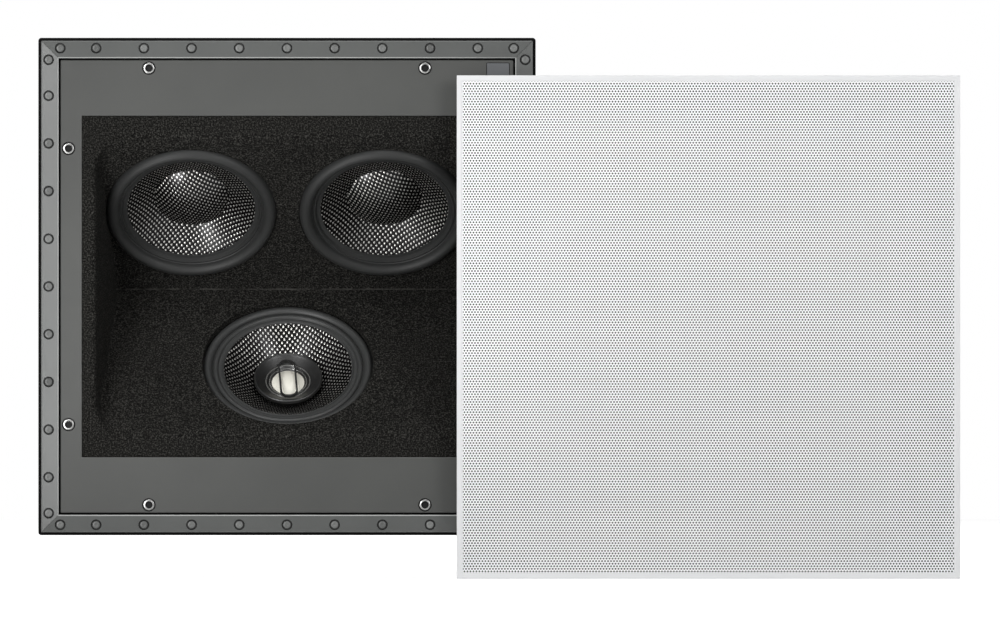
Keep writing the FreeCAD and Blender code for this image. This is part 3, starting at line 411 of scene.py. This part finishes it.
dome_cloth = grained("dome_cloth", (0.74, 0.724, 0.64), (0.79, 0.773, 0.69), 0.0005, 0.4, 0.1)
dome_rim = [(13.8, -16.58), (13.8, -16.0), (13.5, -15.85)]
dome = turned("tweeter_soft_dome", dome_rim + dished(13.2, -15.9, 26.0, 0.4, 0.97, 12, 1.3), 96)
set_on_slope(dome, "mid")
dome.data.materials.append(dome_cloth)
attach(dome, "chassis")
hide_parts("tweeter_dome")

dress(["tweeter_bridge"], guide_black)


# Foam lining: one soft black open-cell skin glued over the baffle and down into the
# V-shaped recess, with rounded rims and three round holes for the drivers. Its lengths
# are in millimetres. A broken seam shows along the crease at the bottom of the recess.
FACE = -8.5
HALF_W, HALF_H, CORNER = 153.8, 116.92, 30.0
EDGE_W, EDGE_H = 164.7, 137.1
UP, LOW = math.tan(math.radians(43.5)), math.tan(math.radians(44.5))
DRAFT = math.tan(math.radians(8.0))
CREASE_Z = HALF_H * (UP - LOW) / (UP + LOW)
ON_FACE, ON_UPPER, ON_LOWER = 3.3, 1.8, 7.5
RIM = 5.0


def soft_min(a, b, k):
    h = max(k - abs(a - b), 0.0) / k if k > 0 else 0.0
    return min(a, b) - h * h * k / 4


def foam_depth(x, z):
    """Depth of the foam's skin behind its face: the nearer of the V and the side walls."""
    slope = soft_min((HALF_H - z) * UP, (HALF_H + z) * LOW, 2.0)
    slope = -soft_min(-slope, 0.0, 7.0)
    qx, qz = abs(x) - HALF_W + CORNER, abs(z) - HALF_H - 4.0 + CORNER
    inset = CORNER - math.hypot(max(qx, 0), max(qz, 0)) - min(max(qx, qz), 0)
    run = inset + 4.35
    if run <= 0:
        wall = 0.0
    elif run < 4.95:
        wall = RIM - math.sqrt(RIM ** 2 - run * run)
    else:
        wall = 4.3 + (run - 4.95) / DRAFT
    return max(0.0, soft_min(slope, wall, 9.0 * min(1.0, min(slope, wall) / 12.0)))


def foam_thickness(x, z):
    """The solid lining's thickness on the face, on the upper slope and on the lower one."""
    down_in = min(1.0, max(0.0, foam_depth(x, z) - 4.0) / 10.0)
    lower = min(1.0, max(0.0, 0.5 - (z + 2.0) / 12.0))
    return ON_FACE + down_in * ((ON_UPPER - ON_FACE) * (1 - lower) + (ON_LOWER - ON_FACE) * lower)


def cut_out(piece, punch, name):
    bpy.ops.object.select_all(action="DESELECT")
    piece.select_set(True)
    bpy.context.view_layer.objects.active = piece
    cut = piece.modifiers.new(name, "BOOLEAN")
    cut.operation = "DIFFERENCE"
    cut.solver = "EXACT"
    cut.object = punch
    bpy.ops.object.modifier_apply(modifier=cut.name)
    bpy.data.objects.remove(punch)


columns = [-EDGE_W, -162.0]
columns += [-160.0 + 0.8 * i for i in range(41)]
columns += [-127.2 + 3.0285 * i for i in range(1, 84)]
columns += [127.2 + 0.8 * i for i in range(1, 42)]
columns += [162.0, EDGE_W]
rows = [-EDGE_H + 2 * EDGE_H * i / 118 for i in range(119)]
bpy.ops.object.select_all(action="DESELECT")
bpy.ops.mesh.primitive_grid_add(x_subdivisions=len(columns) - 1, y_subdivisions=len(rows) - 1, size=2)
foam = bpy.context.object
foam.name = "foam_lining"
for vertex in foam.data.vertices:
    x = columns[round((vertex.co.x + 1) / 2 * (len(columns) - 1))]
    z = rows[round((vertex.co.y + 1) / 2 * (len(rows) - 1))]
    vertex.co = (x / 1000, (FACE + foam_depth(x, z)) / 1000, z / 1000)
lining = foam.vertex_groups.new(name="lining")
for vertex in foam.data.vertices:
    thick = foam_thickness(vertex.co.x * 1000, vertex.co.z * 1000)
    lining.add([vertex.index], thick / ON_LOWER, "REPLACE")
bpy.ops.object.modifier_add(type="SOLIDIFY")
foam.modifiers[0].thickness = ON_LOWER / 1000
foam.modifiers[0].offset = -1.0
foam.modifiers[0].vertex_group = lining.name
bpy.ops.object.modifier_apply(modifier=foam.modifiers[0].name)
for driver in SEATS:
    bpy.ops.mesh.primitive_cylinder_add(vertices=144, radius=0.069, depth=0.04)
    punch = bpy.context.object
    set_on_slope(punch, driver)
    cut_out(foam, punch, "hole")
bpy.ops.object.shade_smooth_by_angle(angle=math.radians(50))

foam_black = bpy.data.materials.new("foam_black")
foam_black.use_nodes = True
tree = foam_black.node_tree
join = tree.links.new
shader = tree.nodes["Principled BSDF"]
shader.inputs["Roughness"].default_value = 0.95
shader.inputs["Specular IOR Level"].default_value = 0.08
place = tree.nodes.new("ShaderNodeTexCoord")
crumb = tree.nodes.new("ShaderNodeTexNoise")
crumb.inputs["Scale"].default_value = 820.0
crumb.inputs["Detail"].default_value = 2.0
crumb.inputs["Roughness"].default_value = 0.65
cell = tree.nodes.new("ShaderNodeTexVoronoi")
cell.inputs["Scale"].default_value = 620.0
patchy = tree.nodes.new("ShaderNodeTexNoise")
patchy.inputs["Scale"].default_value = 90.0
patchy.inputs["Detail"].default_value = 3.0
spot = tree.nodes.new("ShaderNodeSeparateXYZ")
for pattern in (crumb, cell, patchy, spot):
    join(place.outputs["Object"], pattern.inputs["Vector"])
tint = tree.nodes.new("ShaderNodeValToRGB")
tint.color_ramp.elements[0].position = 0.34
tint.color_ramp.elements[0].color = (0.002, 0.002, 0.0018, 1)
tint.color_ramp.elements[1].position = 0.7
tint.color_ramp.elements[1].color = (0.056, 0.0544, 0.0496, 1)
tint.color_ramp.elements.new(0.5).color = (0.0095, 0.0093, 0.0084, 1)
join(crumb.outputs["Fac"], tint.inputs["Fac"])
deep = reckon(tree, "GREATER_THAN", spot.outputs["Y"], 0.092)
gaping = reckon(tree, "MULTIPLY", ranged(tree, patchy.outputs["Fac"], 0.4, 0.62, 0.12, 0.85), deep)
aside = reckon(tree, "ABSOLUTE", reckon(tree, "SUBTRACT", spot.outputs["Z"], CREASE_Z / 1000))
seam = ranged(tree, aside, 0.0003, 0.0008, gaping, 0.0, smooth=True)
join(mixed(tree, seam, tint.outputs["Color"], (0.058, 0.0563, 0.0522, 1)), shader.inputs["Base Color"])
relief = tree.nodes.new("ShaderNodeBump")
relief.inputs["Strength"].default_value = 0.9
relief.inputs["Distance"].default_value = 0.0008
join(cell.outputs["Distance"], relief.inputs["Height"])
join(relief.outputs["Normal"], shader.inputs["Normal"])
foam.data.materials.append(foam_black)
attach(foam, "chassis")
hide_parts("baffle_foam")


# Front panel, mitred rails and corner plate: satin grey paint over metal, screwed
# on from behind. Inward-facing chamfers are painted lighter as a highlight, and the
# depths of the panel's counterbores and the gaps between the pieces are painted dark as shade.
def edged(finish, edge_highlight, shade_from_depth):
    """Paints a lighter highlight on the chamfers that face inward and dark shade behind a depth."""
    tree = finish.node_tree
    join = tree.links.new
    shader = tree.nodes["Principled BSDF"]
    painted = shader.inputs["Base Color"].links[0].from_socket
    place = tree.nodes.new("ShaderNodeTexCoord")
    lean = tree.nodes.new("ShaderNodeSeparateXYZ")
    join(place.outputs["Normal"], lean.inputs["Vector"])
    spot = tree.nodes.new("ShaderNodeSeparateXYZ")
    join(place.outputs["Object"], spot.inputs["Vector"])
    chamfer = reckon(tree, "COMPARE", reckon(tree, "ABSOLUTE", lean.outputs["Y"]), 0.71, 0.14)
    upward = reckon(tree, "MULTIPLY", spot.outputs["Z"], lean.outputs["Z"])
    outward = reckon(tree, "MULTIPLY_ADD", spot.outputs["X"], lean.outputs["X"], upward)
    inner = reckon(tree, "MULTIPLY_ADD", reckon(tree, "LESS_THAN", outward, 0.0), 0.8, 0.2)
    # Painted highlight: full on chamfers facing inward, a fifth of it on those facing outward.
    with_edge_highlight = mixed(tree, reckon(tree, "MULTIPLY", chamfer, inner), painted, (*edge_highlight, 1))
    # Painted shade: everything behind the given depth turns near black.
    behind = reckon(tree, "GREATER_THAN", spot.outputs["Y"], shade_from_depth)
    join(mixed(tree, behind, with_edge_highlight, (0.004, 0.004, 0.004, 1)), shader.inputs["Base Color"])


panel_grey = grained("panel_grey", (0.054, 0.0557, 0.0527), (0.062, 0.0637, 0.06), 0.0006, 0.45, 0.12)
# The rails' grey is the panel's paint made lighter: painted light for the brighter look of their tilted
# faces.
rail_grey = grained("rail_grey", (0.09, 0.094, 0.091), (0.102, 0.106, 0.103), 0.0006, 0.32, 0.1)
plate_grey = grained("plate_grey", (0.1, 0.104, 0.11), (0.112, 0.117, 0.124), 0.0008, 0.4, 0.1)
# Each call gives the painted edge highlight's colour and the depth where painted shade starts.
edged(panel_grey, (0.13, 0.134, 0.13), -0.0093)
edged(rail_grey, (0.46, 0.47, 0.46), -0.0084)
dress(["front_panel"], panel_grey)
dress(["rail_top", "rail_right", "rail_bottom", "rail_left"], rail_grey)
dress(["corner_plate"], plate_grey)


# Grille magnets: small plated discs pressed into the rails, each with a rounded rim
# painted dark as shade, and a dimple. Their grey wanders from magnet to magnet, a random
# tone that in places also stands in for reflections. One is turned, then set eleven
# times in each of the four rails.
MAGNET_OUT, MAGNET_CORNER, MAGNET_STEP = 0.191593, 0.182293, 0.0383484
RAIL_FACE = -0.0106857
magnet_grey = grained("magnet_grey", (0.07, 0.072, 0.07), (0.2, 0.205, 0.2), 0.0005, 0.36, 0.1)
magnet_rim_painted_shade = grained(
    "magnet_rim_painted_shade", (0.038, 0.039, 0.038), (0.05, 0.051, 0.05), 0.0005, 0.5, 0.1, shine=0.3)
magnet_section = [
    (0, 0.25), (0.5, 0.28), (0.85, 0.04), (1.1, 0.0), (2.7, 0.0), (2.85, 0.08), (3.2, 0.5),
    (3.75, 0.9), (3.8, 1.3), (3.8, 3.0), (0, 3.0),
]
disc = turned("magnet_disc", magnet_section, 28)
disc.data.materials.append(magnet_grey)
disc.data.materials.append(magnet_rim_painted_shade)
# Painted shade: faces beyond the flat face's edge take the dark rim colour.
for face in disc.data.polygons:
    face.material_index = 1 if face.center.xy.length > 0.00285 else 0
face_on = Matrix.Rotation(math.radians(-90), 4, "X")
discs = []
for quarter in range(4):
    turn = Euler((0, math.radians(90 * quarter), 0)).to_matrix().to_4x4()
    for along in [-MAGNET_CORNER, MAGNET_CORNER] + [(i - 4) * MAGNET_STEP for i in range(9)]:
        copy = disc.copy()
        copy.data = disc.data.copy()
        bpy.context.collection.objects.link(copy)
        copy.matrix_world = turn @ Matrix.Translation((along, RAIL_FACE, MAGNET_OUT)) @ face_on
        discs.append(copy)
bpy.ops.object.select_all(action="DESELECT")
for copy in discs:
    copy.select_set(True)
magnets = discs[0]
magnets.name = "grille_magnet_discs"
bpy.context.view_layer.objects.active = magnets
bpy.ops.object.join()
bpy.ops.object.transform_apply(location=True, rotation=True, scale=True)
bpy.data.objects.remove(disc)
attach(magnets, "chassis")
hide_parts("grille_magnets")


# Clamp screws: plated steel with a bright round head and a long dark thread, set in the
# panel's counterbores. The hexagon socket and the head's rounded side are painted dark as
# shade. One is turned and cut, eight are placed.
SCREW_ASIDE, SCREW_OUT = 0.111, 0.175593
SOCKET_FLATS = 0.0049
THREAD_PITCH = 1.25
screw_steel = grained("screw_steel", (0.46, 0.46, 0.45), (0.56, 0.56, 0.55), 0.0006, 0.3, 0.06, metal=1.0)
shade_and_thread_black = grained(
    "shade_and_thread_black", (0.006, 0.006, 0.006), (0.012, 0.012, 0.012), 0.0006, 0.5, 0.1, shine=0.2)
head = [
    (0, 9.25), (2.85, 9.25), (3.0, 9.45), (4.05, 9.45), (4.35, 9.3), (4.6, 8.95), (4.7, 8.4), (4.7, 6.9),
    (4.5, 6.66), (2.5, 6.66), (2.5, 3.6),
]
thread = []
for i in range(58):
    thread += [(2.12, 3.2 - THREAD_PITCH * i), (2.5, 2.6 - THREAD_PITCH * i)]
screw = turned("clamp_screw_turned", head + thread + [(1.7, -70.0), (0, -70.0)], 24, crisp=30)
bpy.ops.mesh.primitive_cylinder_add(
    vertices=6, radius=SOCKET_FLATS / math.sqrt(3), depth=0.004, location=(0, 0, 0.00965))
punch = bpy.context.object
bpy.ops.object.transform_apply(location=True, rotation=True, scale=True)
cut_out(screw, punch, "socket")
screw.data.materials.append(screw_steel)
screw.data.materials.append(shade_and_thread_black)
# Painted shade in the socket and on the head's rounded side; under the head and the thread are dark steel.
for face in screw.data.polygons:
    out, height = face.center.xy.length, face.center.z
    in_socket = out < 0.0029 and 0.007 < height < 0.0094
    on_side = out > 0.00425 or height < 0.006
    if in_socket or on_side:
        face.material_index = 1
for i in range(8):
    quarter = math.radians(90 * (i // 2))
    x, z = (-SCREW_ASIDE, SCREW_ASIDE)[i % 2], SCREW_OUT
    copy = screw.copy()
    copy.data = screw.data.copy()
    copy.name = "clamp_screw_threaded_%d" % (i + 1)
    bpy.context.collection.objects.link(copy)
    bpy.ops.object.select_all(action="DESELECT")
    copy.select_set(True)
    bpy.context.view_layer.objects.active = copy
    copy.rotation_euler = (math.radians(90), 0, 0)
    copy.location = (
        x * math.cos(quarter) + z * math.sin(quarter), 0, z * math.cos(quarter) - x * math.sin(quarter))
    bpy.ops.object.transform_apply(location=True, rotation=True, scale=True)
    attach(copy, "clamp_screw_%d" % (i + 1))
    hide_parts("clamp_screw_%d" % (i + 1))
bpy.data.objects.remove(screw)


# Clamp arms: black plastic, threaded on the screws. They lie beside the box while it
# goes through the cut-out, then swing out and are drawn up behind the board.
arm_black = grained("arm_black", (0.018, 0.018, 0.018), (0.026, 0.026, 0.026), 0.0008, 0.45, 0.2)
dress(["clamp_arm_%d" % i for i in range(1, 9)], arm_black)


# Grille: a white painted tray of fine perforated sheet with a plain folded border,
# shown lifted off the magnets and held in front. The sheet's holes are a pattern of
# staggered rows in its paint, two rows to each repeat.
WALL, SHEET, BORDER = 0.0012, 0.0010, 0.004
GROOVE, GROOVE_DEPTH, SHEET_RISE = 0.0008, 0.0004, 0.0003
HOLE_PITCH, TWO_ROWS = 0.0024, 0.00412
HOLE_EDGE = (0.00068, 0.00078)


def pick_faces(piece, wanted):
    bpy.ops.object.mode_set(mode="EDIT")
    bpy.ops.mesh.select_all(action="DESELECT")
    bpy.ops.object.mode_set(mode="OBJECT")
    for face in piece.data.polygons:
        face.select = wanted(face)
    bpy.ops.object.mode_set(mode="EDIT")
    bpy.ops.mesh.select_mode(type="FACE")


grille_low, grille_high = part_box("grille")
middle = (Vector(grille_low) + Vector(grille_high)) / 2
span = Vector(grille_high) - Vector(grille_low)
front = middle.y - span.y / 2
bpy.ops.object.select_all(action="DESELECT")
bpy.ops.mesh.primitive_cube_add(size=1, location=middle)
tray = bpy.context.object
tray.name = "grille_tray"
tray.scale = span
bpy.ops.object.transform_apply(location=True, rotation=True, scale=True)
pick_faces(tray, lambda face: face.normal.y > 0.9)
bpy.ops.mesh.inset(thickness=WALL)
bpy.ops.mesh.extrude_region_move(TRANSFORM_OT_translate={"value": (0, SHEET - span.y, 0)})
bpy.ops.object.mode_set(mode="OBJECT")
pick_faces(tray, lambda face: face.normal.y < -0.9 and face.center.y < front + 0.0005)
bpy.ops.mesh.inset(thickness=BORDER)
bpy.ops.mesh.extrude_region_move(TRANSFORM_OT_translate={"value": (0, GROOVE_DEPTH, 0)})
bpy.ops.mesh.inset(thickness=GROOVE)
bpy.ops.mesh.extrude_region_move(TRANSFORM_OT_translate={"value": (0, -SHEET_RISE, 0)})
bpy.ops.object.mode_set(mode="OBJECT")
bpy.ops.object.modifier_add(type="BEVEL")
tray.modifiers[0].width = 0.0005
tray.modifiers[0].segments = 3
tray.modifiers[0].limit_method = "ANGLE"
bpy.ops.object.modifier_apply(modifier=tray.modifiers[0].name)
bpy.ops.object.shade_smooth_by_angle(angle=math.radians(35))
grille_white = grained("grille_white", (0.69, 0.695, 0.705), (0.72, 0.725, 0.735), 0.0008, 0.55, 0.08)
tray.data.materials.append(grille_white)

perforated = bpy.data.materials.new("perforated_white")
perforated.use_nodes = True
tree = perforated.node_tree
join = tree.links.new
shader = tree.nodes["Principled BSDF"]
shader.inputs["Roughness"].default_value = 0.55
place = tree.nodes.new("ShaderNodeTexCoord")
across = tree.nodes.new("ShaderNodeSeparateXYZ")
join(place.outputs["Object"], across.inputs["Vector"])
distances = []
for shift in (0.0, 0.5):
    squares = []
    for way, repeat in (("X", HOLE_PITCH), ("Z", TWO_ROWS)):
        turns = reckon(tree, "ADD", reckon(tree, "DIVIDE", across.outputs[way], repeat), shift)
        off = reckon(tree, "MULTIPLY", reckon(tree, "SUBTRACT", reckon(tree, "FRACT", turns), 0.5), repeat)
        squares.append(reckon(tree, "MULTIPLY", off, off))
    distances.append(reckon(tree, "SQRT", reckon(tree, "ADD", *squares)))
metal = ranged(tree, reckon(tree, "MINIMUM", *distances), *HOLE_EDGE, smooth=True)
paint = mixed(tree, metal, (0.004, 0.004, 0.004, 1), (0.88, 0.884, 0.894, 1))
relief = tree.nodes.new("ShaderNodeBump")
relief.inputs["Strength"].default_value = 0.2
relief.inputs["Distance"].default_value = 0.0004
join(paint, shader.inputs["Base Color"])
join(metal, relief.inputs["Height"])
join(relief.outputs["Normal"], shader.inputs["Normal"])
tray.data.materials.append(perforated)
for face in tray.data.polygons:
    if face.area > 0.1:
        face.material_index = 1
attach(tray, "chassis")
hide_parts("grille")


# Studio: a white floor just under the grille, soft lamps from the left, the right and
# above, a small one low down that reaches into the recess, one behind for the back box,
# and a long lens square to the speaker's face, 14 m away.
bpy.ops.object.select_all(action="DESELECT")
bpy.ops.mesh.primitive_circle_add(vertices=96, radius=4.0, fill_type="NGON", location=(0.17, 0, -0.2352))
floor = bpy.context.object
floor.name = "studio_floor"
bpy.ops.object.transform_apply(location=True, rotation=True, scale=True)
floor_white = bpy.data.materials.new("floor_white")
floor_white.use_nodes = True
tree = floor_white.node_tree
tree.nodes.clear()
soft = tree.nodes.new("ShaderNodeBsdfDiffuse")
soft.inputs["Color"].default_value = (0.75, 0.75, 0.75, 1)
glow = tree.nodes.new("ShaderNodeEmission")
glow.inputs["Color"].default_value = (1, 1, 1, 1)
ray = tree.nodes.new("ShaderNodeLightPath")
mirrored = reckon(tree, "ADD", ray.outputs["Is Glossy Ray"], ray.outputs["Is Transmission Ray"])
faint = reckon(tree, "MULTIPLY", mirrored, 0.1)
feed(tree, glow.inputs["Strength"], reckon(tree, "MULTIPLY_ADD", ray.outputs["Is Camera Ray"], 0.8, faint))
both = tree.nodes.new("ShaderNodeAddShader")
feed(tree, both.inputs[0], soft.outputs[0])
feed(tree, both.inputs[1], glow.outputs[0])
out = tree.nodes.new("ShaderNodeOutputMaterial")
feed(tree, out.inputs["Surface"], both.outputs[0])
floor.data.materials.append(floor_white)

world = bpy.data.worlds.new("studio")
bpy.context.scene.world = world
world.use_nodes = True
tree = world.node_tree
tree.nodes.clear()
lit = tree.nodes.new("ShaderNodeBackground")
lit.inputs["Color"].default_value = (1, 1, 1, 1)
lit.inputs["Strength"].default_value = 0.18
white = tree.nodes.new("ShaderNodeBackground")
white.inputs["Color"].default_value = (1, 1, 1, 1)
white.inputs["Strength"].default_value = 1.0
ray = tree.nodes.new("ShaderNodeLightPath")
way = tree.nodes.new("ShaderNodeTexCoord")
heading = tree.nodes.new("ShaderNodeSeparateXYZ")
feed(tree, heading.inputs["Vector"], way.outputs["Generated"])
behind = ranged(tree, heading.outputs["Y"], -0.1, 0.3)
mirrored = reckon(tree, "ADD", ray.outputs["Is Glossy Ray"], ray.outputs["Is Transmission Ray"])
seen = reckon(tree, "MULTIPLY_ADD", mirrored, behind, ray.outputs["Is Camera Ray"])
either = tree.nodes.new("ShaderNodeMixShader")
feed(tree, either.inputs[0], reckon(tree, "MINIMUM", seen, 1.0))
feed(tree, either.inputs[1], lit.outputs[0])
feed(tree, either.inputs[2], white.outputs[0])
out = tree.nodes.new("ShaderNodeOutputWorld")
feed(tree, out.inputs["Surface"], either.outputs[0])

for name, spot, aim, size, watts, beam in (
    ("lamp_left", (-1.15, -2.2, 0.4), (0.0, 0.0, 0.0), 0.9, 27.0, 180.0),
    ("lamp_right", (1.35, -2.1, 0.7), (0.1, 0.0, 0.0), 0.8, 18.5, 180.0),
    ("lamp_above", (0.0, -1.6, 2.15), (0.0, 0.0, 0.0), 1.0, 18.5, 180.0),
    ("lamp_low", (-0.3, -0.42, -0.19), (0.0, 0.05, 0.05), 0.14, 0.17, 60.0),
    ("lamp_back", (1.4, 2.6, 1.5), (0.1, 0.1, 0.0), 1.2, 34.0, 180.0),
):
    lamp = bpy.data.lights.new(name, "AREA")
    lamp.shape = "SQUARE"
    lamp.size = size
    lamp.energy = watts
    lamp.spread = math.radians(beam)
    stand = bpy.data.objects.new(name, lamp)
    bpy.context.collection.objects.link(stand)
    stand.location = spot
    stand.visible_camera = False
    stand.rotation_euler = (Vector(aim) - Vector(spot)).to_track_quat("-Z", "Y").to_euler()

LENS_TO_FACE, PICTURE_WIDTH = 13.99, 0.804
lens = bpy.data.cameras.new("long_lens")
lens.sensor_width = 36.0
lens.lens = lens.sensor_width * LENS_TO_FACE / PICTURE_WIDTH
lens.clip_end = 100.0
camera = bpy.data.objects.new("long_lens", lens)
bpy.context.collection.objects.link(camera)
camera.location = (0.1713, -14.0, -0.0189)
camera.rotation_euler = (math.radians(90), 0, 0)
bpy.context.scene.camera = camera
bpy.context.scene.view_settings.view_transform = "Standard"
